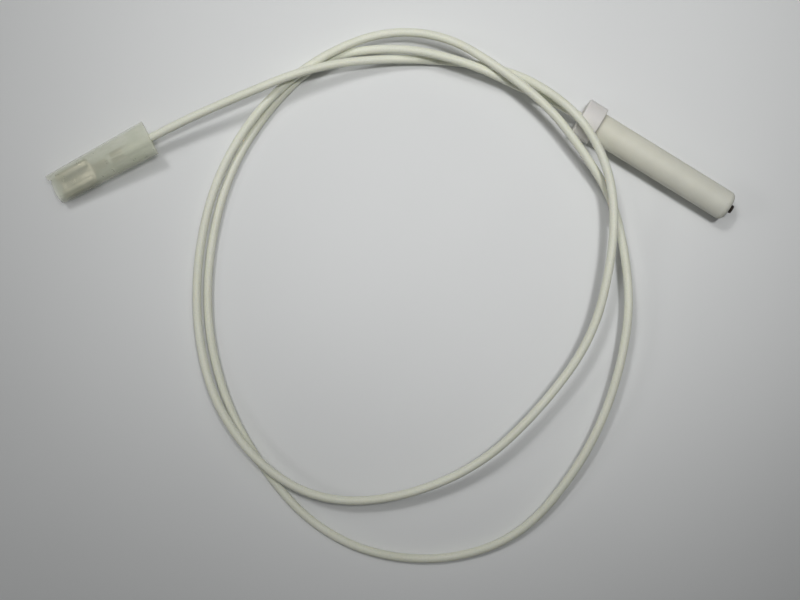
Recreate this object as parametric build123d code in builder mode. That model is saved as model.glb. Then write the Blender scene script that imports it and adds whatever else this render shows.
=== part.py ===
"""Flame sensor probe of a gas burner: a ceramic electrode, its lead and a sleeved push-on terminal.

Millimetres, +Z up. The origin is on the insulator's axis at the shoulder behind its barrel, and +X
points along the barrel to the electrode's tip. The probe lies on a level sheet that its head touches.
"""

import os
from math import pi, radians, tan

from build123d import *

# Ceramic insulator: a barrel with a wider head behind its shoulder
barrel_diameter = 7.0
barrel_length = 35.6
nose_radius = 1.3
head_diameter = 9.3
head_length = 4.7
head_edge_radius = 0.4
rod_fit = 0.05
counterbore_diameter = 3.4
counterbore_depth = 14.0

# Electrode rod and the ferrule that joins it to the conductor
rod_diameter = 2.0
rod_proud = 0.95
rod_edge = 0.25
ferrule_diameter = 3.0
ferrule_length = 8.4
ferrule_gap = 0.2
joint_gap = 0.2
crimp_length = 2.2
crimp_depth = 0.3

# Lead: a silicone jacket on a seven-strand conductor, bared at both ends
lead_diameter = 2.0
strand_diameter = 0.28
strand_spacing = 0.285
outer_strands = 6
conductor_fit = 0.05
core_overlap = 2.0
bare_at_probe = 5.2
cement_length = 3.2
cement_recess = 0.3

# Blade receptacle, rolled from strip, for a 4.8 x 0.8 tab
tab_width = 4.8
tab_thickness = 0.8
tab_side_gap = 0.25
tab_top_gap = 0.05
stock = 0.35
box_length = 8.0
box_inner_height = 1.6
box_low_radius = 0.6
box_top_radius = 0.9
roll_slot_width = 2.2
lock_hole_diameter = 1.2
lock_hole_from_front = 4.0
neck_length = 1.5
neck_width = 2.6
wire_barrel_length = 2.7
wire_barrel_neck_width = 1.3
jacket_neck_length = 1.7
jacket_barrel_length = 3.1
jacket_barrel_neck_width = 1.8
barrel_seam = 0.3
lap = 0.1
neck_clearance = 0.02

# Insulating sleeve, a flattened tube round the receptacle, a little larger at the lead's end
sleeve_length = 25.9
sleeve_wall = 0.4
sleeve_side_gap = 0.3
sleeve_top_gap = 0.45
sleeve_mouth_radius = 1.7
sleeve_rear_radius = 1.9
sleeve_width_flare = 0.8
sleeve_height_flare = 0.3
sleeve_recess = 1.5

# Route of the lead from the receptacle to the probe: x, y and height above the sheet
route_on_sheet = [
    (-92.4, -65.9, 3.95),
    (-84.6, -52.9, 5.7),
    (-75.0, -39.1, 7.3),
    (-62.3, -21.5, 6.4),
    (-45.0, -8.1, 1.3),
    (-24.5, 1.4, 2.0),
    (-8.0, -0.1, 13.7),
    (3.5, -5.1, 13.1),
    (12.0, -13.1, 10.5),
    (18.8, -25.5, 9.0),
    (24.4, -43.0, 8.0),
    (22.6, -63.3, 7.0),
    (17.6, -81.5, 6.0),
    (6.1, -97.3, 5.0),
    (-8.2, -107.1, 5.0),
    (-24.5, -108.1, 5.4),
    (-41.5, -101.6, 4.2),
    (-54.5, -89.1, 3.0),
    (-64.0, -73.1, 2.8),
    (-69.5, -55.6, 2.8),
    (-69.5, -38.1, 3.2),
    (-64.5, -21.6, 4.0),
    (-54.7, -7.4, 4.0),
    (-41.3, -0.5, 5.6),
    (-25.8, -0.7, 9.8),
    (-12.1, -2.6, 12.1),
    (-0.5, -6.8, 11.5),
    (11.6, -12.2, 6.2),
    (21.2, -22.0, 5.0),
    (29.5, -33.6, 5.5),
    (35.7, -51.0, 5.0),
    (38.0, -68.6, 3.5),
    (35.5, -89.6, 1.6),
    (24.0, -104.1, 1.1),
    (7.5, -112.6, 1.1),
    (-9.0, -113.6, 1.1),
    (-24.5, -108.6, 1.1),
    (-38.5, -101.1, 1.1),
    (-51.5, -89.1, 1.1),
    (-61.0, -74.1, 1.1),
    (-67.5, -55.6, 1.1),
    (-68.0, -37.6, 1.1),
    (-63.5, -19.1, 1.1),
    (-48.8, -8.0, 4.3),
    (-33.0, -3.1, 6.0),
    (-18.7, -1.2, 3.4),
]
# The lead's last corner lies on the probe's axis, this far behind the head
last_corner_gap = 4.8
arc_share = 0.45

# Places along the probe's axis
barrel_radius = barrel_diameter / 2
head_radius = head_diameter / 2
head_rear_x = -head_length
counterbore_floor_x = head_rear_x + counterbore_depth
ferrule_front_x = counterbore_floor_x - ferrule_gap
ferrule_rear_x = ferrule_front_x - ferrule_length
ferrule_middle_x = (ferrule_front_x + ferrule_rear_x) / 2
rod_rear_x = ferrule_middle_x + joint_gap / 2
rod_front_x = barrel_length + rod_proud
bare_end_x = ferrule_middle_x - joint_gap / 2
jacket_end_x = bare_end_x - bare_at_probe
conductor_diameter = strand_diameter + 2 * strand_spacing
core_hole_diameter = conductor_diameter + 2 * conductor_fit

# The route in the probe's frame, where the sheet lies one head radius below the axis
sheet_z = -head_radius
route = [Vector(x, y, sheet_z + height) for x, y, height in route_on_sheet]
route.append(Vector(head_rear_x - last_corner_gap, 0, 0))
route.append(Vector(jacket_end_x, 0, 0))

# Places along the terminal, from the sleeve's mouth towards the lead
box_start = sleeve_recess
box_end = box_start + box_length
wire_barrel_start = box_end + neck_length
wire_barrel_end = wire_barrel_start + wire_barrel_length
jacket_barrel_start = wire_barrel_end + jacket_neck_length
jacket_barrel_end = jacket_barrel_start + jacket_barrel_length
jacket_start = wire_barrel_end + jacket_neck_length / 2

# The terminal's plane: its normal runs along the lead, its X is level and its Y points up
lead_direction = (route[1] - route[0]).normalized()
side_direction = Vector(0, 0, 1).cross(lead_direction)
mouth_centre = route[0] - lead_direction * jacket_start
terminal = Plane(origin=mouth_centre, x_dir=side_direction, z_dir=lead_direction)
probe = Plane.YZ


def lead_radii(points):
    """Radius of the arc at each inner point, as large as its two runs allow."""
    radii = []
    for before, corner, after in zip(points, points[1:], points[2:]):
        shorter_run = min((corner - before).length, (after - corner).length)
        turn = (corner - before).get_angle(after - corner)
        radii.append(arc_share * shorter_run / tan(radians(turn / 2)))
    return radii


def bare_strands():
    """Sketch of the seven strands, one in the middle of six."""
    Circle(strand_diameter / 2)
    with PolarLocations(strand_spacing, outer_strands):
        Circle(strand_diameter / 2)


# Ceramic insulator
with BuildPart() as ceramic_insulator:
    with BuildSketch(probe.offset(head_rear_x)):
        Circle(head_radius)
    extrude(amount=head_length)
    with BuildSketch(probe):
        Circle(barrel_radius)
    extrude(amount=barrel_length)
    fillet(ceramic_insulator.faces().sort_by(Axis.X)[-1].edges(), nose_radius)
    fillet(ceramic_insulator.faces().sort_by(Axis.X)[0].edges(), head_edge_radius)
    with BuildSketch(probe.offset(head_rear_x)):
        Circle(rod_diameter / 2 + rod_fit)
    extrude(amount=head_length + barrel_length, mode=Mode.SUBTRACT)
    with BuildSketch(probe.offset(head_rear_x)):
        Circle(counterbore_diameter / 2)
    extrude(amount=counterbore_depth, mode=Mode.SUBTRACT)

# Electrode rod, flush in its bore but for the proud tip
with BuildPart() as electrode_rod:
    with BuildSketch(probe.offset(rod_rear_x)):
        Circle(rod_diameter / 2)
    extrude(amount=rod_front_x - rod_rear_x)
    fillet(electrode_rod.faces().sort_by(Axis.X)[-1].edges(), rod_edge)

# Ferrule with one socket for the rod and a narrower one for the conductor, pressed flat over each
with BuildPart() as crimp_ferrule:
    with BuildSketch(probe.offset(ferrule_rear_x)):
        Circle(ferrule_diameter / 2)
    extrude(amount=ferrule_length)
    with BuildSketch(probe.offset(ferrule_rear_x)):
        Circle(core_hole_diameter / 2)
    extrude(amount=ferrule_length, mode=Mode.SUBTRACT)
    with BuildSketch(probe.offset(rod_rear_x)):
        Circle(rod_diameter / 2)
    extrude(amount=ferrule_front_x - rod_rear_x, mode=Mode.SUBTRACT)
    for press_x in (
        (ferrule_rear_x + ferrule_middle_x) / 2,
        (ferrule_middle_x + ferrule_front_x) / 2,
    ):
        for side in (-1, 1):
            press_y = side * (ferrule_diameter - crimp_depth) / 2
            with BuildSketch(Plane.XZ.offset(-press_y)):
                with Locations((press_x, 0)):
                    Rectangle(crimp_length, ferrule_diameter)
            extrude(amount=-side * ferrule_diameter / 2, mode=Mode.SUBTRACT)

# Cement ring that locks the lead in the head
with BuildPart() as rear_cement:
    with BuildSketch(probe.offset(head_rear_x + cement_recess)):
        Circle(counterbore_diameter / 2)
        Circle(lead_diameter / 2, mode=Mode.SUBTRACT)
    extrude(amount=cement_length)

# Bared conductor between the jacket and the ferrule
with BuildPart() as conductor_probe_end:
    with BuildSketch(probe.offset(jacket_end_x - core_overlap)):
        bare_strands()
    extrude(amount=core_overlap + bare_at_probe)

# Bared conductor under the receptacle's wire barrel
with BuildPart() as conductor_terminal_end:
    with BuildSketch(terminal.offset(wire_barrel_start)):
        bare_strands()
    extrude(amount=jacket_start + core_overlap - wire_barrel_start)

# Lead, with a blind hole for the conductor at each end
radii = lead_radii(route)
with BuildPart() as lead:
    with BuildLine() as lead_path:
        FilletPolyline(*route, radius=radii)
    with BuildSketch(terminal.offset(jacket_start)):
        Circle(lead_diameter / 2)
    sweep(path=lead_path.wire())
    with BuildSketch(terminal.offset(jacket_start)):
        Circle(core_hole_diameter / 2)
    extrude(amount=core_overlap, mode=Mode.SUBTRACT)
    with BuildSketch(probe.offset(jacket_end_x)):
        Circle(core_hole_diameter / 2)
    extrude(amount=-core_overlap, mode=Mode.SUBTRACT)

# Blade receptacle
lead_radius = lead_diameter / 2
jacket_barrel_radius = lead_radius + stock
wire_barrel_radius = core_hole_diameter / 2 + stock
box_width = tab_width + 2 * (tab_side_gap + stock)
box_height = box_inner_height + 2 * stock
box_floor_y = -jacket_barrel_radius
box_middle_y = box_floor_y + box_height / 2
box_roof_y = box_floor_y + box_height
lip_end_y = box_floor_y + stock + tab_thickness + tab_top_gap
lip_height = box_roof_y - stock / 2 - lip_end_y
lip_middle_y = lip_end_y + lip_height / 2
neck_low_y = box_floor_y + stock / 2
neck_high_y = -wire_barrel_radius + stock / 2
with BuildPart() as blade_receptacle:
    # Box: a floor with both edges rolled over it, whose lips hold the tab down
    with BuildSketch(terminal.offset(box_start)) as box_profile:
        with Locations((0, box_middle_y)):
            Rectangle(box_width, box_height)
        fillet(box_profile.vertices().group_by(Axis.Y)[0], box_low_radius)
        fillet(box_profile.vertices().group_by(Axis.Y)[-1], box_top_radius)
        offset(amount=-stock, mode=Mode.SUBTRACT)
        with Locations((0, box_roof_y)):
            Rectangle(roll_slot_width, 2 * box_top_radius, mode=Mode.SUBTRACT)
        for side in (-1, 1):
            with Locations((side * (roll_slot_width + stock) / 2, lip_middle_y)):
                Rectangle(stock, lip_height)
    extrude(amount=box_length)
    # Necks that carry the strip from the box to each barrel
    with BuildSketch(terminal.offset(box_end - lap)):
        with Locations((0, neck_low_y)):
            Rectangle(neck_width, stock)
    with BuildSketch(terminal.offset(wire_barrel_start + lap)):
        with Locations((0, neck_high_y)):
            Rectangle(wire_barrel_neck_width, stock)
    loft()
    with BuildSketch(terminal.offset(wire_barrel_end - lap)):
        with Locations((0, neck_high_y)):
            Rectangle(wire_barrel_neck_width, stock)
    with BuildSketch(terminal.offset(jacket_barrel_start + lap)):
        with Locations((0, neck_low_y)):
            Rectangle(jacket_barrel_neck_width, stock)
    loft()
    # The lead and the strands keep their room in the necks
    with BuildSketch(terminal.offset(jacket_start)):
        Circle(lead_radius + neck_clearance)
    extrude(amount=jacket_barrel_end - jacket_start, mode=Mode.SUBTRACT)
    with BuildSketch(terminal.offset(box_end)):
        Circle(core_hole_diameter / 2 + neck_clearance)
    extrude(amount=jacket_start - box_end, mode=Mode.SUBTRACT)
    # Wire barrel, closed on the strands
    with BuildSketch(terminal.offset(wire_barrel_start)):
        Circle(wire_barrel_radius)
        Circle(core_hole_diameter / 2, mode=Mode.SUBTRACT)
    extrude(amount=wire_barrel_length)
    # Jacket barrel, with the seam where its two wings meet
    with BuildSketch(terminal.offset(jacket_barrel_start)):
        Circle(jacket_barrel_radius)
        Circle(lead_radius, mode=Mode.SUBTRACT)
        with Locations((0, jacket_barrel_radius)):
            Rectangle(barrel_seam, 3 * stock, mode=Mode.SUBTRACT)
    extrude(amount=jacket_barrel_length)
    # Hole in the floor that a locking tab's dimple drops into
    hole_plane = Plane(
        origin=terminal.from_local_coords(Vector(0, box_floor_y, box_start + lock_hole_from_front)),
        x_dir=side_direction,
        z_dir=terminal.y_dir,
    )
    with BuildSketch(hole_plane):
        Circle(lock_hole_diameter / 2)
    extrude(amount=stock, both=True, mode=Mode.SUBTRACT)

# Insulating sleeve
sleeve_mouth_width = box_width + 2 * (sleeve_side_gap + sleeve_wall)
sleeve_mouth_height = 2 * (jacket_barrel_radius + sleeve_top_gap + sleeve_wall)
sleeve_rear_width = sleeve_mouth_width + sleeve_width_flare
sleeve_rear_height = sleeve_mouth_height + sleeve_height_flare
with BuildPart() as terminal_sleeve:
    with BuildSketch(terminal):
        RectangleRounded(sleeve_mouth_width, sleeve_mouth_height, sleeve_mouth_radius)
    with BuildSketch(terminal.offset(sleeve_length)):
        RectangleRounded(sleeve_rear_width, sleeve_rear_height, sleeve_rear_radius)
    loft()
    with BuildSketch(terminal):
        RectangleRounded(
            sleeve_mouth_width - 2 * sleeve_wall,
            sleeve_mouth_height - 2 * sleeve_wall,
            sleeve_mouth_radius - sleeve_wall,
        )
    with BuildSketch(terminal.offset(sleeve_length)):
        RectangleRounded(
            sleeve_rear_width - 2 * sleeve_wall,
            sleeve_rear_height - 2 * sleeve_wall,
            sleeve_rear_radius - sleeve_wall,
        )
    loft(mode=Mode.SUBTRACT)

pieces = {
    "ceramic_insulator": ceramic_insulator,
    "electrode_rod": electrode_rod,
    "crimp_ferrule": crimp_ferrule,
    "rear_cement": rear_cement,
    "conductor_probe_end": conductor_probe_end,
    "lead": lead,
    "conductor_terminal_end": conductor_terminal_end,
    "blade_receptacle": blade_receptacle,
    "terminal_sleeve": terminal_sleeve,
}
os.makedirs("parts", exist_ok=True)
for name, piece in pieces.items():
    piece.part.label = name
    export_step(piece.part, f"parts/{name}.step")

print("radii of the lead's arcs, mm:", [round(radius, 1) for radius in radii])
path_length = lead_path.wire().length
print("length of the lead's path, mm:", round(path_length, 1))
holes_volume = 2 * core_overlap * pi * (core_hole_diameter / 2) ** 2
solid_volume = pi * lead_radius**2 * path_length
print("lead's volume over section times length:", round((lead.part.volume + holes_volume) / solid_volume, 4))
print("slide axis:", [round(v, 5) for v in lead_direction])
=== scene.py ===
"""Looks of a flame sensor probe: its ceramic, its silicone lead and its sleeved push-on terminal.

Metres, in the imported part's frame: the origin is on the insulator's axis at its shoulder, +X points
to the electrode's tip and +Z up. The terminal's pieces are modelled at the origin with X across,
Y up and Z from the sleeve's mouth to the lead, and are then put in their place.
"""

from math import cos, hypot, pi, radians, sin

import bmesh
import bpy
from mathutils import Matrix, Vector


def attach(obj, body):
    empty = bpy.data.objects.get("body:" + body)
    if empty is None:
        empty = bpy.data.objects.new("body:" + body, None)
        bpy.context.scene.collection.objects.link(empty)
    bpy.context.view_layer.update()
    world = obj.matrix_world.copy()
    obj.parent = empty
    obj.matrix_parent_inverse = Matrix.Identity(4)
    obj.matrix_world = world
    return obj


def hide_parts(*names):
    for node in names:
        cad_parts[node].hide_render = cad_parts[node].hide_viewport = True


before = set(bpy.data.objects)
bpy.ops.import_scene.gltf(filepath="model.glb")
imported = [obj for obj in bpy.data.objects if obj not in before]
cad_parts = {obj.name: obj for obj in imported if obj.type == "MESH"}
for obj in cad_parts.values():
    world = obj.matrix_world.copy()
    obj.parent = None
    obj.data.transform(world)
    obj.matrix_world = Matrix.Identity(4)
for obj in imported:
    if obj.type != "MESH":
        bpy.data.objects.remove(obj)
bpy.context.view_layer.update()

MM = 0.001
scene = bpy.context.scene
scene.view_settings.view_transform = "Standard"

# Sizes of the pieces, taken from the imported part
HEAD_RADIUS = 4.65 * MM
HEAD_LENGTH = 4.7 * MM
BARREL_RADIUS = 3.5 * MM
BARREL_LENGTH = 35.6 * MM
NOSE_RADIUS = 1.3 * MM
BORE_RADIUS = 1.05 * MM
COUNTERBORE_RADIUS = 1.7 * MM
COUNTERBORE_DEPTH = 14.0 * MM
ROD_RADIUS = 1.0 * MM
ROD_PROUD = 0.95 * MM
LEAD_RADIUS = 1.0 * MM
STRAND_RADIUS = 0.14 * MM
STRAND_SPACING = 0.285 * MM
CORE_OVERLAP = 2.0 * MM
PROBE_STRANDS_START = -2.4 * MM
PROBE_STRANDS_LENGTH = 7.2 * MM
ROD_START = 5.0 * MM
CEMENT_DEPTH = 0.3 * MM
CEMENT_LENGTH = 3.2 * MM
STOCK = 0.35 * MM

# Places along the terminal, from the sleeve's mouth
BOX_START = 1.5 * MM
BOX_END = 9.5 * MM
WIRE_BARREL_START = 11.0 * MM
WIRE_BARREL_END = 13.7 * MM
JACKET_START = 14.55 * MM
JACKET_BARREL_START = 15.4 * MM
JACKET_BARREL_END = 18.5 * MM

# The sleeve, which is wider at its rear than at its mouth
SLEEVE_LENGTH = 25.9 * MM
SLEEVE_WALL = 0.4 * MM
MOUTH_WIDTH = 7.4 * MM
MOUTH_HEIGHT = 4.4 * MM
MOUTH_RADIUS = 1.7 * MM
REAR_WIDTH = 8.2 * MM
REAR_HEIGHT = 4.7 * MM

# The lead's route from the receptacle to the probe, in metres: x, y and height above the sheet
ROUTE_ON_SHEET = [
    (-0.0924, -0.0659, 0.00395),
    (-0.0846, -0.0529, 0.0057),
    (-0.0750, -0.0391, 0.0073),
    (-0.0623, -0.0215, 0.0064),
    (-0.0450, -0.0081, 0.0013),
    (-0.0245, 0.0014, 0.002),
    (-0.0080, -0.0001, 0.0109),
    (0.0035, -0.0051, 0.0104),
    (0.0120, -0.0131, 0.0093),
    (0.0188, -0.0255, 0.009),
    (0.0244, -0.0430, 0.008),
    (0.0226, -0.0633, 0.007),
    (0.0176, -0.0815, 0.006),
    (0.0061, -0.0973, 0.005),
    (-0.0082, -0.1071, 0.005),
    (-0.0245, -0.1081, 0.0054),
    (-0.0415, -0.1016, 0.0042),
    (-0.0545, -0.0891, 0.003),
    (-0.0640, -0.0731, 0.0028),
    (-0.0695, -0.0556, 0.0028),
    (-0.0695, -0.0381, 0.0032),
    (-0.0645, -0.0216, 0.004),
    (-0.0547, -0.0074, 0.004),
    (-0.0413, -0.0005, 0.0056),
    (-0.0258, -0.0007, 0.0074),
    (-0.0121, -0.0026, 0.0086),
    (-0.0005, -0.0068, 0.0076),
    (0.0116, -0.0122, 0.0046),
    (0.0212, -0.0220, 0.005),
    (0.0295, -0.0336, 0.0055),
    (0.0357, -0.0510, 0.005),
    (0.0380, -0.0686, 0.0035),
    (0.0355, -0.0896, 0.0016),
    (0.0240, -0.1041, 0.0011),
    (0.0075, -0.1126, 0.0011),
    (-0.0090, -0.1136, 0.0011),
    (-0.0245, -0.1086, 0.0011),
    (-0.0385, -0.1011, 0.0011),
    (-0.0515, -0.0891, 0.0011),
    (-0.0610, -0.0741, 0.0011),
    (-0.0675, -0.0556, 0.0011),
    (-0.0680, -0.0376, 0.0011),
    (-0.0635, -0.0191, 0.0011),
    (-0.0488, -0.0080, 0.0043),
    (-0.0330, -0.0031, 0.006),
    (-0.0187, -0.0012, 0.0034),
]
SHEET_Z = -HEAD_RADIUS
ROUTE = [Vector((x, y, SHEET_Z + height)) for x, y, height in ROUTE_ON_SHEET]
# It turns on to the probe's axis behind the head, and ends in the counterbore
AXIS_FROM = -9.5 * MM
LEAD_END = -0.4 * MM
ROUTE += [Vector((AXIS_FROM, 0, 0)), Vector((LEAD_END, 0, 0))]

# The terminal's place: Z runs along the lead's first stretch, X is level and Y points up
ALONG = (ROUTE[1] - ROUTE[0]).normalized()
ACROSS = Vector((0, 0, 1)).cross(ALONG).normalized()
UPWARD = ALONG.cross(ACROSS)
MOUTH = ROUTE[0] - ALONG * JACKET_START
TERMINAL = Matrix.Translation(MOUTH) @ Matrix((ACROSS, UPWARD, ALONG)).transposed().to_4x4()


# ---- The camera, straight above the sheet

CAMERA_PLACE = Vector((-0.0179, -0.0581, 0.31535))
CAMERA_TURN = radians(31.67)
VIEW_RIGHT = Vector((cos(CAMERA_TURN), sin(CAMERA_TURN), 0))
VIEW_UP = Vector((-sin(CAMERA_TURN), cos(CAMERA_TURN), 0))


def make_camera():
    view = bpy.data.cameras.new("camera")
    view.sensor_width = 36
    view.lens = 61.3
    view.clip_start = 0.01
    camera = bpy.data.objects.new("camera", view)
    camera.location = CAMERA_PLACE
    camera.rotation_euler = (0, 0, CAMERA_TURN)
    scene.collection.objects.link(camera)
    scene.camera = camera


# ---- Working at a piece

def begin():
    """Leaves nothing selected and no piece in hand, before a new one is added."""
    bpy.ops.object.select_all(action="DESELECT")
    bpy.context.view_layer.objects.active = None


def take(piece):
    """Selects this piece alone."""
    begin()
    piece.select_set(True)
    bpy.context.view_layer.objects.active = piece


def new_piece(name):
    """Names what was just added, and leaves its place in its mesh."""
    piece = bpy.context.active_object
    piece.name = name
    piece.data.name = name
    bpy.ops.object.transform_apply(location=True, rotation=True, scale=True)
    return piece


def edit(piece):
    take(piece)
    bpy.ops.object.mode_set(mode="EDIT")


def finish_edit():
    bpy.ops.object.mode_set(mode="OBJECT")


def middle(part):
    """The middle of an edge or a face."""
    return sum((corner.co for corner in part.verts), Vector()) / len(part.verts)


def pick(kind, wanted):
    """Selects the vertices, edges or faces that pass the test, and nothing else."""
    bpy.ops.mesh.select_mode(type=kind)
    bpy.ops.mesh.select_all(action="DESELECT")
    mesh = bmesh.from_edit_mesh(bpy.context.edit_object.data)
    parts = {"VERT": mesh.verts, "EDGE": mesh.edges, "FACE": mesh.faces}[kind]
    for part in parts:
        if wanted(part):
            part.select_set(True)
    mesh.select_flush_mode()
    bmesh.update_edit_mesh(bpy.context.edit_object.data)


def extrude_by(x=0.0, y=0.0, z=0.0):
    bpy.ops.mesh.extrude_region_move(TRANSFORM_OT_translate={"value": (x, y, z)})


def add_modifier(piece, kind, **settings):
    modifier = piece.modifiers.new(kind.lower(), kind)
    for name, value in settings.items():
        setattr(modifier, name, value)
    take(piece)
    bpy.ops.object.modifier_apply(modifier=modifier.name)


def face_out(piece):
    """Merges doubled corners and turns every face outwards."""
    edit(piece)
    bpy.ops.mesh.select_all(action="SELECT")
    bpy.ops.mesh.remove_doubles(threshold=0.001 * MM)
    bpy.ops.mesh.normals_make_consistent(inside=False)
    finish_edit()


def shade(piece, degrees=35):
    take(piece)
    bpy.ops.object.shade_smooth_by_angle(angle=radians(degrees))


def put_on_terminal(piece):
    """Moves a finished piece from the origin to the terminal's place."""
    piece.matrix_world = TERMINAL
    take(piece)
    bpy.ops.object.transform_apply(location=True, rotation=True, scale=True)


def near(a, b):
    return abs(a - b) < 0.01 * MM


# ---- The lead

def make_lead():
    line = bpy.data.curves.new("silicone_lead", "CURVE")
    line.dimensions = "3D"
    line.resolution_u = 16
    line.bevel_depth = LEAD_RADIUS
    line.bevel_resolution = 6
    line.use_fill_caps = True
    spline = line.splines.new("NURBS")
    spline.points.add(len(ROUTE) - 1)
    for point, place in zip(spline.points, ROUTE):
        point.co = (*place, 1)
    spline.order_u = 3
    spline.use_endpoint_u = True
    lead = bpy.data.objects.new("silicone_lead", line)
    scene.collection.objects.link(lead)
    return lead


make_camera()
lead = make_lead()


# ---- The ceramic

def on_ring(part, x, radius):
    """True for an edge or a corner of the ring of this radius at x."""
    ends = getattr(part, "verts", [part])
    return all(near(end.co.x, x) and near(hypot(end.co.y, end.co.z), radius) for end in ends)


def make_ceramic():
    begin()
    bpy.ops.mesh.primitive_cylinder_add(
        vertices=128,
        radius=HEAD_RADIUS,
        depth=HEAD_LENGTH,
        location=(-HEAD_LENGTH / 2, 0, 0),
        rotation=(0, pi / 2, 0),
    )
    ceramic = new_piece("ceramic_body")
    edit(ceramic)
    # Barrel, from the head's front face
    pick("FACE", lambda face: near(middle(face).x, 0))
    bpy.ops.mesh.inset(thickness=HEAD_RADIUS - BARREL_RADIUS)
    extrude_by(x=BARREL_LENGTH)
    pick("EDGE", lambda edge: on_ring(edge, BARREL_LENGTH, BARREL_RADIUS))
    bpy.ops.mesh.bevel(offset=NOSE_RADIUS, segments=10)
    # Bore, down to the counterbore's floor
    floor_x = COUNTERBORE_DEPTH - HEAD_LENGTH
    pick("FACE", lambda face: near(middle(face).x, BARREL_LENGTH) and len(face.verts) > 4)
    bpy.ops.mesh.inset(thickness=BARREL_RADIUS - NOSE_RADIUS - BORE_RADIUS)
    pick("FACE", lambda face: near(middle(face).x, BARREL_LENGTH) and len(face.verts) > 4)
    extrude_by(x=floor_x - BARREL_LENGTH)
    bpy.ops.mesh.delete(type="FACE")
    # Counterbore, from the rear face
    pick("FACE", lambda face: near(middle(face).x, -HEAD_LENGTH))
    bpy.ops.mesh.inset(thickness=HEAD_RADIUS - COUNTERBORE_RADIUS)
    pick("FACE", lambda face: near(middle(face).x, -HEAD_LENGTH) and len(face.verts) > 4)
    extrude_by(x=COUNTERBORE_DEPTH)
    bpy.ops.mesh.inset(thickness=COUNTERBORE_RADIUS - BORE_RADIUS)
    pick("FACE", lambda face: near(middle(face).x, floor_x) and len(face.verts) > 4)
    bpy.ops.mesh.delete(type="FACE")
    bpy.ops.mesh.select_all(action="SELECT")
    bpy.ops.mesh.remove_doubles(threshold=0.001 * MM)
    # Pressed edges: soft at the head, with a small fillet in the shoulder
    pick("EDGE", lambda edge: on_ring(edge, -HEAD_LENGTH, HEAD_RADIUS))
    bpy.ops.mesh.bevel(offset=0.4 * MM, segments=5)
    pick("EDGE", lambda edge: on_ring(edge, 0, HEAD_RADIUS))
    bpy.ops.mesh.bevel(offset=0.18 * MM, segments=4)
    pick("EDGE", lambda edge: on_ring(edge, -HEAD_LENGTH, COUNTERBORE_RADIUS))
    bpy.ops.mesh.bevel(offset=0.2 * MM, segments=3)
    pick("EDGE", lambda edge: on_ring(edge, BARREL_LENGTH, BORE_RADIUS))
    bpy.ops.mesh.bevel(offset=0.12 * MM, segments=3)
    # Rings along the barrel keep its long faces short
    for step in range(1, 8):
        bpy.ops.mesh.select_all(action="SELECT")
        bpy.ops.mesh.bisect(plane_co=(BARREL_LENGTH * step / 8, 0, 0), plane_no=(1, 0, 0))
    finish_edit()
    face_out(ceramic)
    shade(ceramic)
    return ceramic


ceramic = make_ceramic()


# ---- The electrode rod

def make_electrode():
    front = BARREL_LENGTH + ROD_PROUD
    begin()
    bpy.ops.mesh.primitive_cylinder_add(
        vertices=48,
        radius=ROD_RADIUS,
        depth=front - ROD_START,
        location=((front + ROD_START) / 2, 0, 0),
        rotation=(0, pi / 2, 0),
    )
    rod = new_piece("electrode_tip")
    edit(rod)
    for end in (ROD_START, front):
        pick("EDGE", lambda edge: on_ring(edge, end, ROD_RADIUS))
        bpy.ops.mesh.bevel(offset=0.25 * MM, segments=4)
    # The sheared end is pocked, so its face is ringed and roughened a little
    pick("FACE", lambda face: near(middle(face).x, front) and len(face.verts) > 4)
    for _ in range(4):
        bpy.ops.mesh.inset(thickness=0.16 * MM)
    pick("VERT", lambda corner: corner.co.x > front - 0.02 * MM)
    bpy.ops.transform.vertex_random(offset=0.05 * MM, uniform=0.4, normal=0.6, seed=3)
    finish_edit()
    face_out(rod)
    shade(rod, 50)
    return rod


electrode = make_electrode()


# ---- The cement ring in the head

def make_cement():
    rear = -HEAD_LENGTH + CEMENT_DEPTH
    front = rear + CEMENT_LENGTH
    begin()
    bpy.ops.mesh.primitive_cylinder_add(
        vertices=64,
        radius=COUNTERBORE_RADIUS,
        depth=front - rear,
        location=((front + rear) / 2, 0, 0),
        rotation=(0, pi / 2, 0),
    )
    cement = new_piece("cement_fill")
    edit(cement)
    ring = (COUNTERBORE_RADIUS - LEAD_RADIUS) / 4
    for face_x in (rear, front):
        pick("FACE", lambda face: near(middle(face).x, face_x) and len(face.verts) > 4)
        for _ in range(4):
            bpy.ops.mesh.inset(thickness=ring)
        bpy.ops.mesh.delete(type="FACE")
    pick("EDGE", lambda edge: edge.is_boundary)
    bpy.ops.mesh.bridge_edge_loops()
    # It has shrunk between the wall and the lead, and creeps up both
    for share, sunk in ((1, 0.10), (2, 0.14), (3, 0.08)):
        radius = COUNTERBORE_RADIUS - share * ring
        pick("VERT", lambda corner: on_ring(corner, rear, radius))
        bpy.ops.transform.translate(value=(sunk * MM, 0, 0))
    pick("VERT", lambda corner: corner.co.x < rear + 0.2 * MM)
    bpy.ops.transform.vertex_random(offset=0.03 * MM, uniform=0.5, normal=0.5, seed=7)
    finish_edit()
    face_out(cement)
    shade(cement, 60)
    return cement


cement = make_cement()


# ---- Bared strands, six twisted round one

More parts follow.
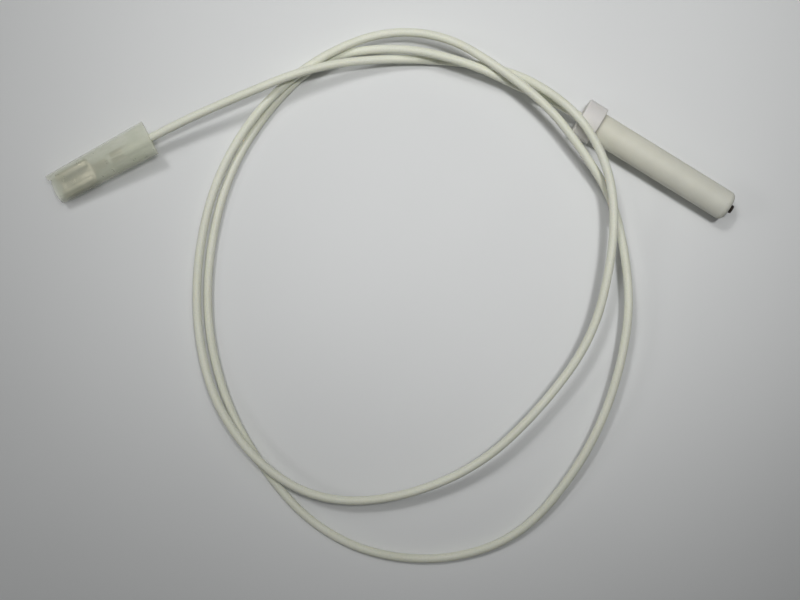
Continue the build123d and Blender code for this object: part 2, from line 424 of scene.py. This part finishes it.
def make_strands(name, length, twist):
    """Strands along Z from the origin. They turn by twist over their length."""
    places = [Vector((0, 0, 0))]
    places += [Vector((cos(turn * pi / 3), sin(turn * pi / 3), 0)) * STRAND_SPACING for turn in range(6)]
    ends = []
    for place in places:
        begin()
        bpy.ops.mesh.primitive_circle_add(
            vertices=14, radius=STRAND_RADIUS, fill_type="NGON", location=place
        )
        bpy.ops.object.transform_apply(location=True, rotation=True, scale=True)
        ends.append(bpy.context.active_object)
    for end in ends:
        end.select_set(True)
    bpy.ops.object.join()
    strands = new_piece(name)
    edit(strands)
    steps = 24
    for _ in range(steps):
        bpy.ops.mesh.select_mode(type="FACE")
        extrude_by(z=length / steps)
        mesh = bmesh.from_edit_mesh(strands.data)
        top = [corner for corner in mesh.verts if corner.select]
        bmesh.ops.rotate(mesh, cent=(0, 0, 0), matrix=Matrix.Rotation(twist / steps, 3, "Z"), verts=top)
        bmesh.update_edit_mesh(strands.data)
    finish_edit()
    face_out(strands)
    shade(strands, 50)
    return strands


terminal_strands = make_strands(
    "terminal_strands", JACKET_START + CORE_OVERLAP - WIRE_BARREL_START, radians(110)
)
terminal_strands.data.transform(Matrix.Translation((0, 0, WIRE_BARREL_START)))
put_on_terminal(terminal_strands)
probe_strands = make_strands("probe_strands", PROBE_STRANDS_LENGTH, radians(150))
probe_strands.matrix_world = (
    Matrix.Translation((PROBE_STRANDS_START, 0, 0)) @ Matrix.Rotation(pi / 2, 4, "Y")
)
take(probe_strands)
bpy.ops.object.transform_apply(location=True, rotation=True, scale=True)


# ---- The receptacle, folded from strip

def spin_edge(wanted, centre, angle, steps):
    """Folds the strip on from the picked edges, about an axis along Z."""
    pick("EDGE", wanted)
    bpy.ops.mesh.spin(steps=steps, angle=angle, center=(*centre, 0), axis=(0, 0, 1))


def along_z(edge, start, end):
    low, high = sorted(corner.co.z for corner in edge.verts)
    return near(low, start) and near(high, end)


def make_receptacle():
    """The strip is folded as a thin face first, and is then given the stock's thickness."""
    half = STOCK / 2
    floor_y = -(LEAD_RADIUS + STOCK) + half
    floor_half_width = 2.4 * MM
    begin()
    bpy.ops.mesh.primitive_plane_add(size=1, location=(0, 0, 0))
    strip = new_piece("receptacle_strip")
    box_length = BOX_END - BOX_START
    strip.data.transform(Matrix.Rotation(pi / 2, 4, "X"))
    strip.data.transform(Matrix.Diagonal((2 * floor_half_width, 1, box_length, 1)))
    strip.data.transform(Matrix.Translation((0, floor_y, (BOX_START + BOX_END) / 2)))
    edit(strip)
    # Necks and the floors of both barrels, behind the box
    wire_radius = 0.475 * MM + half
    jacket_radius = LEAD_RADIUS + half
    wire_floor = 0.3 * MM
    jacket_floor = 0.35 * MM
    # Place along Z, height and half the strip's width
    stations = (
        (BOX_END + 0.35 * MM, floor_y, 1.3 * MM),
        (WIRE_BARREL_START - 0.45 * MM, floor_y + 0.25 * MM, 0.85 * MM),
        (WIRE_BARREL_START, -wire_radius, wire_floor),
        (WIRE_BARREL_END, -wire_radius, wire_floor),
        (WIRE_BARREL_END + 0.5 * MM, floor_y + 0.25 * MM, 0.7 * MM),
        (JACKET_BARREL_START - 0.35 * MM, floor_y, 0.8 * MM),
        (JACKET_BARREL_START, -jacket_radius, jacket_floor),
        (JACKET_BARREL_END, -jacket_radius, jacket_floor),
    )
    last_z, last_y, last_half = BOX_END, floor_y, floor_half_width
    for z, y, half_width in stations:
        pick("EDGE", lambda edge: along_z(edge, last_z, last_z))
        extrude_by(y=y - last_y, z=z - last_z)
        bpy.ops.transform.resize(value=(half_width / last_half, 1, 1))
        last_z, last_y, last_half = z, y, half_width
    # The box's edges: out and up, over, and down to the lip that holds the tab
    low_radius = 0.6 * MM - half
    top_radius = 0.9 * MM - half
    lip_radius = 0.25 * MM
    side_x = 3.0 * MM - half
    roof_y = floor_y - half + 2.3 * MM - half
    lip_x = 1.1 * MM + half
    lip_end_y = floor_y + half + 0.85 * MM
    for side in (-1, 1):
        turn = -side * pi / 2
        spin_edge(
            lambda edge: along_z(edge, BOX_START, BOX_END) and near(middle(edge).x, side * floor_half_width),
            (side * floor_half_width, floor_y + low_radius), turn, 5,
        )
        extrude_by(y=(roof_y - top_radius) - (floor_y + low_radius))
        bpy.ops.mesh.spin(
            steps=7, angle=turn, center=(side * (side_x - top_radius), roof_y - top_radius, 0), axis=(0, 0, 1)
        )
        extrude_by(x=side * ((lip_x + lip_radius) - (side_x - top_radius)))
        bpy.ops.mesh.spin(
            steps=5, angle=turn, center=(side * (lip_x + lip_radius), roof_y - lip_radius, 0), axis=(0, 0, 1)
        )
        extrude_by(y=lip_end_y - (roof_y - lip_radius))
    # Wings of the wire barrel close on the strands and turn in; those of the jacket barrel meet
    for side in (-1, 1):
        spin_edge(
            lambda edge: along_z(edge, WIRE_BARREL_START, WIRE_BARREL_END)
            and near(middle(edge).x, side * wire_floor),
            (0, 0), -side * radians(146), 12,
        )
        spin_edge(
            lambda edge: along_z(edge, JACKET_BARREL_START, JACKET_BARREL_END)
            and near(middle(edge).x, side * jacket_floor),
            (0, 0), -side * radians(154), 16,
        )
    finish_edit()
    face_out(strip)
    add_modifier(strip, "SOLIDIFY", thickness=STOCK, offset=0, use_even_offset=True)
    add_modifier(
        strip, "BEVEL", width=0.05 * MM, segments=2, limit_method="ANGLE", angle_limit=radians(50)
    )
    shade(strip, 40)
    put_on_terminal(strip)
    return strip


receptacle = make_receptacle()


# ---- The sleeve

def end_shift(corner):
    """How far a corner of the sleeve moves along Z, because both ends were cut a little askew."""
    cut_zone = 0.12 * SLEEVE_LENGTH
    x, y, z = corner.co
    mouth_share = max(0.0, 1 - z / cut_zone)
    rear_share = max(0.0, 1 - (SLEEVE_LENGTH - z) / cut_zone)
    wave = 0.12 * sin(x / (0.9 * MM)) + 0.25 * y / (MOUTH_HEIGHT / 2)
    # One side of the mouth stands out past a small notch
    if x > 2.2 * MM:
        wave -= 0.40
    elif x > 1.5 * MM:
        wave += 0.30
    slant = 0.4 * y / (REAR_HEIGHT / 2) - 0.3
    return (mouth_share * wave + rear_share * slant) * MM


def broad_wall_swell(corner):
    """How far a corner moves outwards, because the broad walls bulge where the receptacle is pushed in."""
    along = sin(pi * min(1, max(0, corner.co.z / SLEEVE_LENGTH)))
    side = 1 if corner.co.y > 0 else -1
    return 0.12 * MM * along * cos(corner.co.x / MOUTH_WIDTH * pi) * side


def make_sleeve():
    begin()
    bpy.ops.mesh.primitive_cube_add(size=1, location=(0, 0, 0))
    sleeve = new_piece("sleeve_shell")
    sleeve.data.transform(Matrix.Diagonal((MOUTH_WIDTH, MOUTH_HEIGHT, SLEEVE_LENGTH, 1)))
    sleeve.data.transform(Matrix.Translation((0, 0, SLEEVE_LENGTH / 2)))
    edit(sleeve)
    pick("FACE", lambda face: abs(face.normal.z) > 0.9)
    bpy.ops.mesh.delete(type="ONLY_FACE")
    pick("EDGE", lambda edge: along_z(edge, 0, SLEEVE_LENGTH))
    bpy.ops.mesh.bevel(offset=MOUTH_RADIUS, segments=12)
    # The sleeve widens towards the lead
    pick("VERT", lambda corner: near(corner.co.z, SLEEVE_LENGTH))
    bpy.ops.transform.resize(value=(REAR_WIDTH / MOUTH_WIDTH, REAR_HEIGHT / MOUTH_HEIGHT, 1))
    # Rings along it, closer at both ends, and along the broad walls
    shares = (0.02, 0.05, 0.1, 0.2, 0.3, 0.4, 0.5, 0.6, 0.7, 0.8, 0.9, 0.95, 0.98)
    for share in shares:
        bpy.ops.mesh.select_all(action="SELECT")
        bpy.ops.mesh.bisect(plane_co=(0, 0, SLEEVE_LENGTH * share), plane_no=(0, 0, 1))
    for x in (-1.6, -1.2, -0.8, -0.4, 0, 0.4, 0.8, 1.2, 1.6):
        bpy.ops.mesh.select_all(action="SELECT")
        bpy.ops.mesh.bisect(plane_co=(x * MM, 0, 0), plane_no=(1, 0, 0))
    mesh = bmesh.from_edit_mesh(sleeve.data)
    for corner in mesh.verts:
        corner.co.z += end_shift(corner)
        corner.co.y += broad_wall_swell(corner)
    bmesh.update_edit_mesh(sleeve.data)
    finish_edit()
    face_out(sleeve)
    add_modifier(sleeve, "SOLIDIFY", thickness=SLEEVE_WALL, offset=-1, use_even_offset=True)
    add_modifier(sleeve, "BEVEL", width=0.07 * MM, segments=3, limit_method="ANGLE", angle_limit=radians(50))
    shade(sleeve, 45)
    # The cut rims are marked, so that their faces can be painted darker than the walls as painted shade
    rim = sleeve.data.attributes.new("shaded_cut_rim", "FLOAT", "FACE")
    for face in sleeve.data.polygons:
        near_an_end = face.center.z < 0.6 * MM or face.center.z > SLEEVE_LENGTH - 0.4 * MM
        rim.data[face.index].value = 1.0 if near_an_end and abs(face.normal.z) > 0.6 else 0.0
    put_on_terminal(sleeve)
    return sleeve


sleeve = make_sleeve()


# ---- Finishes

def new_finish(name, colour, roughness, metallic=0.0):
    """A Principled finish, its node tree, its shader and its Object coordinates."""
    finish = bpy.data.materials.new(name)
    finish.use_nodes = True
    nodes = finish.node_tree.nodes
    shader = nodes["Principled BSDF"]
    shader.inputs["Base Color"].default_value = (*colour, 1)
    shader.inputs["Roughness"].default_value = roughness
    shader.inputs["Metallic"].default_value = metallic
    places = nodes.new("ShaderNodeTexCoord")
    return finish, finish.node_tree, shader, places.outputs["Object"]


def noise(tree, places, scale, detail=4.0, rough=0.55):
    """A noise pattern of so many bumps a metre."""
    node = tree.nodes.new("ShaderNodeTexNoise")
    node.inputs["Scale"].default_value = scale
    node.inputs["Detail"].default_value = detail
    node.inputs["Roughness"].default_value = rough
    tree.links.new(places, node.inputs["Vector"])
    return node.outputs["Fac"]


def ramp(tree, factor, stops):
    """Colours by place on a scale from 0 to 1."""
    node = tree.nodes.new("ShaderNodeValToRGB")
    steps = node.color_ramp.elements
    while len(steps) < len(stops):
        steps.new(0.5)
    for step, (place, colour) in zip(steps, stops):
        step.position = place
        step.color = (*colour, 1)
    tree.links.new(factor, node.inputs["Fac"])
    return node.outputs["Color"]


def mix_node(tree, mode):
    """A colour mixer with its factor, its first colour, its second colour and its result."""
    node = tree.nodes.new("ShaderNodeMix")
    node.data_type = "RGBA"
    node.blend_type = mode
    return node.inputs[0], node.inputs[6], node.inputs[7], node.outputs[2]


def multiply(tree, colour, other):
    factor, first, second, result = mix_node(tree, "MULTIPLY")
    factor.default_value = 1.0
    tree.links.new(colour, first)
    tree.links.new(other, second)
    return result


def cover(tree, share, colour, top_colour):
    """The colour, covered by the plain top colour where the share is 1."""
    factor, first, second, result = mix_node(tree, "MIX")
    tree.links.new(share, factor)
    tree.links.new(colour, first)
    second.default_value = (*top_colour, 1)
    return result


def add_bump(tree, shader, height, strength, distance):
    node = tree.nodes.new("ShaderNodeBump")
    node.inputs["Strength"].default_value = strength
    node.inputs["Distance"].default_value = distance
    tree.links.new(height, node.inputs["Height"])
    tree.links.new(node.outputs["Normal"], shader.inputs["Normal"])


def let_light_in(shader, weight, radius, scale):
    shader.inputs["Subsurface Weight"].default_value = weight
    shader.inputs["Subsurface Radius"].default_value = radius
    shader.inputs["Subsurface Scale"].default_value = scale


def grey(value):
    return (value, value, value)


def silicone():
    finish, tree, shader, places = new_finish("silicone", (0.77, 0.78, 0.67), 0.48)
    let_light_in(shader, 0.25, (1.0, 0.9, 0.6), 0.6 * MM)
    tone = ramp(tree, noise(tree, places, 45, 3), [(0.3, (0.73, 0.74, 0.62)), (0.7, (0.80, 0.81, 0.70))])
    dust = ramp(tree, noise(tree, places, 2600, 6, 0.7), [(0.45, grey(1.0)), (0.75, grey(0.9))])
    tree.links.new(multiply(tree, tone, dust), shader.inputs["Base Color"])
    gloss = ramp(tree, noise(tree, places, 700, 5), [(0.3, grey(0.44)), (0.7, grey(0.58))])
    tree.links.new(gloss, shader.inputs["Roughness"])
    add_bump(tree, shader, noise(tree, places, 3500, 4), 0.12, 0.05 * MM)
    return finish


def fired_ceramic():
    finish, tree, shader, places = new_finish("fired_ceramic", (0.72, 0.71, 0.62), 0.6)
    let_light_in(shader, 0.15, (1.0, 0.85, 0.6), 0.5 * MM)
    # A scale from 0 at the head's rear face to 1 at the electrode's tip
    parts = tree.nodes.new("ShaderNodeSeparateXYZ")
    tree.links.new(places, parts.inputs[0])
    along = tree.nodes.new("ShaderNodeMapRange")
    along.inputs["From Min"].default_value = -HEAD_LENGTH
    along.inputs["From Max"].default_value = BARREL_LENGTH + ROD_PROUD
    tree.links.new(parts.outputs["X"], along.inputs["Value"])
    shoulder = HEAD_LENGTH / (HEAD_LENGTH + BARREL_LENGTH + ROD_PROUD)
    # Head and barrel tones. The dark stop just past the shoulder is painted shade: a thin dark band all
    # round, in the step's corner.
    body = ramp(
        tree,
        along.outputs["Result"],
        [
            (shoulder - 0.004, (0.74, 0.72, 0.69)),
            (shoulder + 0.001, (0.40, 0.38, 0.34)),
            (shoulder + 0.009, (0.72, 0.71, 0.60)),
            (1.0, (0.68, 0.68, 0.60)),
        ],
    )
    mottle = ramp(tree, noise(tree, places, 260, 5), [(0.3, grey(0.94)), (0.7, grey(1.0))])
    clean = multiply(tree, body, mottle)
    # Soot in specks round the nose
    nose = ramp(tree, along.outputs["Result"], [(0.93, grey(0.0)), (0.985, grey(1.0))])
    specks = ramp(tree, noise(tree, places, 1500, 3), [(0.62, grey(0.0)), (0.70, grey(1.0))])
    soot = multiply(tree, nose, specks)
    tree.links.new(cover(tree, soot, clean, (0.10, 0.09, 0.08)), shader.inputs["Base Color"])
    add_bump(tree, shader, noise(tree, places, 4200, 6, 0.65), 0.2, 0.04 * MM)
    return finish


def scaled_steel():
    finish, tree, shader, places = new_finish("scaled_steel", (0.05, 0.045, 0.04), 0.6, metallic=0.6)
    scale = ramp(
        tree,
        noise(tree, places, 1800, 6, 0.7),
        [(0.35, (0.015, 0.012, 0.010)), (0.6, (0.06, 0.045, 0.035)), (0.8, (0.22, 0.15, 0.10))],
    )
    tree.links.new(scale, shader.inputs["Base Color"])
    add_bump(tree, shader, noise(tree, places, 3000, 5), 0.5, 0.1 * MM)
    return finish


def plated_metal(name, light, dark, roughness):
    scale = 900
    finish, tree, shader, places = new_finish(name, light, roughness, metallic=1.0)
    tone = ramp(tree, noise(tree, places, scale, 5), [(0.3, dark), (0.7, light)])
    tree.links.new(tone, shader.inputs["Base Color"])
    polish = ramp(
        tree,
        noise(tree, places, scale * 3, 4),
        [(0.3, grey(roughness * 0.8)), (0.7, grey(roughness * 1.3))],
    )
    tree.links.new(polish, shader.inputs["Roughness"])
    add_bump(tree, shader, noise(tree, places, scale * 6, 4), 0.15, 0.02 * MM)
    return finish


def dry_cement():
    finish, tree, shader, places = new_finish("dry_cement", (0.55, 0.52, 0.45), 0.85)
    grain = ramp(
        tree,
        noise(tree, places, 2200, 8, 0.75),
        [(0.3, (0.42, 0.40, 0.35)), (0.7, (0.66, 0.64, 0.57))],
    )
    tree.links.new(grain, shader.inputs["Base Color"])
    add_bump(tree, shader, noise(tree, places, 3600, 8, 0.75), 0.6, 0.12 * MM)
    return finish


def sleeve_plastic():
    """Milky plastic over the receptacle, whose cut rims are painted darker than its walls as painted shade.
    """
    finish, tree, shader, places = new_finish("sleeve_plastic", (0.70, 0.71, 0.57), 0.32)
    shader.inputs["IOR"].default_value = 1.45
    shader.inputs["Alpha"].default_value = 0.32
    cloud = ramp(tree, noise(tree, places, 220, 4), [(0.3, (0.72, 0.75, 0.60)), (0.7, (0.80, 0.82, 0.69))])
    rim = tree.nodes.new("ShaderNodeAttribute")
    rim.attribute_name = "shaded_cut_rim"
    # Painted shade: the marked cut rims are covered with a dark colour
    walls = cover(tree, rim.outputs["Fac"], cloud, (0.20, 0.21, 0.18))
    tree.links.new(walls, shader.inputs["Base Color"])
    gloss = ramp(tree, noise(tree, places, 500, 4), [(0.3, grey(0.26)), (0.7, grey(0.38))])
    tree.links.new(gloss, shader.inputs["Roughness"])
    add_bump(tree, shader, noise(tree, places, 1500, 4), 0.08, 0.05 * MM)
    return finish


def paper():
    finish, tree, shader, places = new_finish("paper", (0.745, 0.755, 0.752), 0.9)
    shade_of = ramp(tree, noise(tree, places, 9, 3), [(0.3, (0.73, 0.74, 0.737)), (0.7, (0.76, 0.77, 0.767))])
    tree.links.new(shade_of, shader.inputs["Base Color"])
    add_bump(tree, shader, noise(tree, places, 1400, 6), 0.06, 0.05 * MM)
    return finish


def give(piece, finish):
    piece.data.materials.clear()
    piece.data.materials.append(finish)


tinned = plated_metal("tinned_copper", (0.75, 0.72, 0.66), (0.55, 0.50, 0.42), 0.35)
brass = plated_metal("tinned_brass", (0.66, 0.60, 0.46), (0.46, 0.42, 0.32), 0.46)
nickel = plated_metal("nickel_plate", (0.66, 0.65, 0.62), (0.50, 0.49, 0.47), 0.3)
PIECES = (
    (lead, silicone(), "silicone", "lead"),
    (ceramic, fired_ceramic(), "ceramic", "ceramic_insulator"),
    (electrode, scaled_steel(), "electrode_steel", "electrode_rod"),
    (cement, dry_cement(), "cement", "rear_cement"),
    (terminal_strands, tinned, "tinned_copper", "conductor_terminal_end"),
    (probe_strands, tinned, "tinned_copper", "conductor_probe_end"),
    (receptacle, brass, "tinned_brass", "blade_receptacle"),
    (sleeve, sleeve_plastic(), "sleeve_plastic", "terminal_sleeve"),
)
for piece, finish, slot, node in PIECES:
    give(piece, finish)
    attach(piece, "sleeve" if piece is sleeve else "probe")
    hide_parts(node)
for slot_of_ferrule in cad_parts["crimp_ferrule"].material_slots:
    slot_of_ferrule.material = nickel


# ---- The sheet and the light

def make_sheet():
    begin()
    bpy.ops.mesh.primitive_plane_add(size=3, location=(0, 0, SHEET_Z))
    sheet = new_piece("sheet")
    give(sheet, paper())


def put_light(lamp, right, up, height, power, aim_right=0.005):
    """Hangs a light over the sheet by the view's own right and up, aimed a little above its middle."""
    lamp.energy = power
    light = bpy.data.objects.new(lamp.name, lamp)
    middle_of_view = Vector((CAMERA_PLACE.x, CAMERA_PLACE.y, SHEET_Z))
    aim = middle_of_view + VIEW_RIGHT * aim_right + VIEW_UP * 0.057
    light.location = middle_of_view + VIEW_RIGHT * right + VIEW_UP * up + Vector((0, 0, height))
    light.rotation_mode = "QUATERNION"
    light.rotation_quaternion = (aim - light.location).to_track_quat("-Z", "Y")
    scene.collection.objects.link(light)


def soft_box(name, size):
    """A square light."""
    lamp = bpy.data.lights.new(name, "AREA")
    lamp.size = size
    return lamp


def pool(name, radius, cone):
    """A round light whose pool fades out towards its edge."""
    lamp = bpy.data.lights.new(name, "SPOT")
    lamp.shadow_soft_size = radius
    lamp.spot_size = cone
    lamp.spot_blend = 1.0
    return lamp


def light_the_room():
    # A window at the upper left and a lamp at the upper right, whose pools fade towards the lower corners
    put_light(pool("window", 0.16, radians(15)), -0.40, 0.58, 1.12, 33, aim_right=-0.05)
    put_light(pool("lamp", 0.05, radians(20.5)), 0.13, 0.14, 0.80, 10.8, aim_right=0.03)
    put_light(soft_box("ceiling", 0.35), 0, 0.16, 0.40, 0.32)
    put_light(soft_box("side_window", 0.12), -0.5, 0.02, 0.42, 0.25)
    world = bpy.data.worlds.new("room")
    world.use_nodes = True
    sky = world.node_tree.nodes["Background"]
    sky.inputs["Color"].default_value = (0.96, 0.98, 1.0, 1)
    sky.inputs["Strength"].default_value = 0.05
    scene.world = world


make_sheet()
light_the_room()
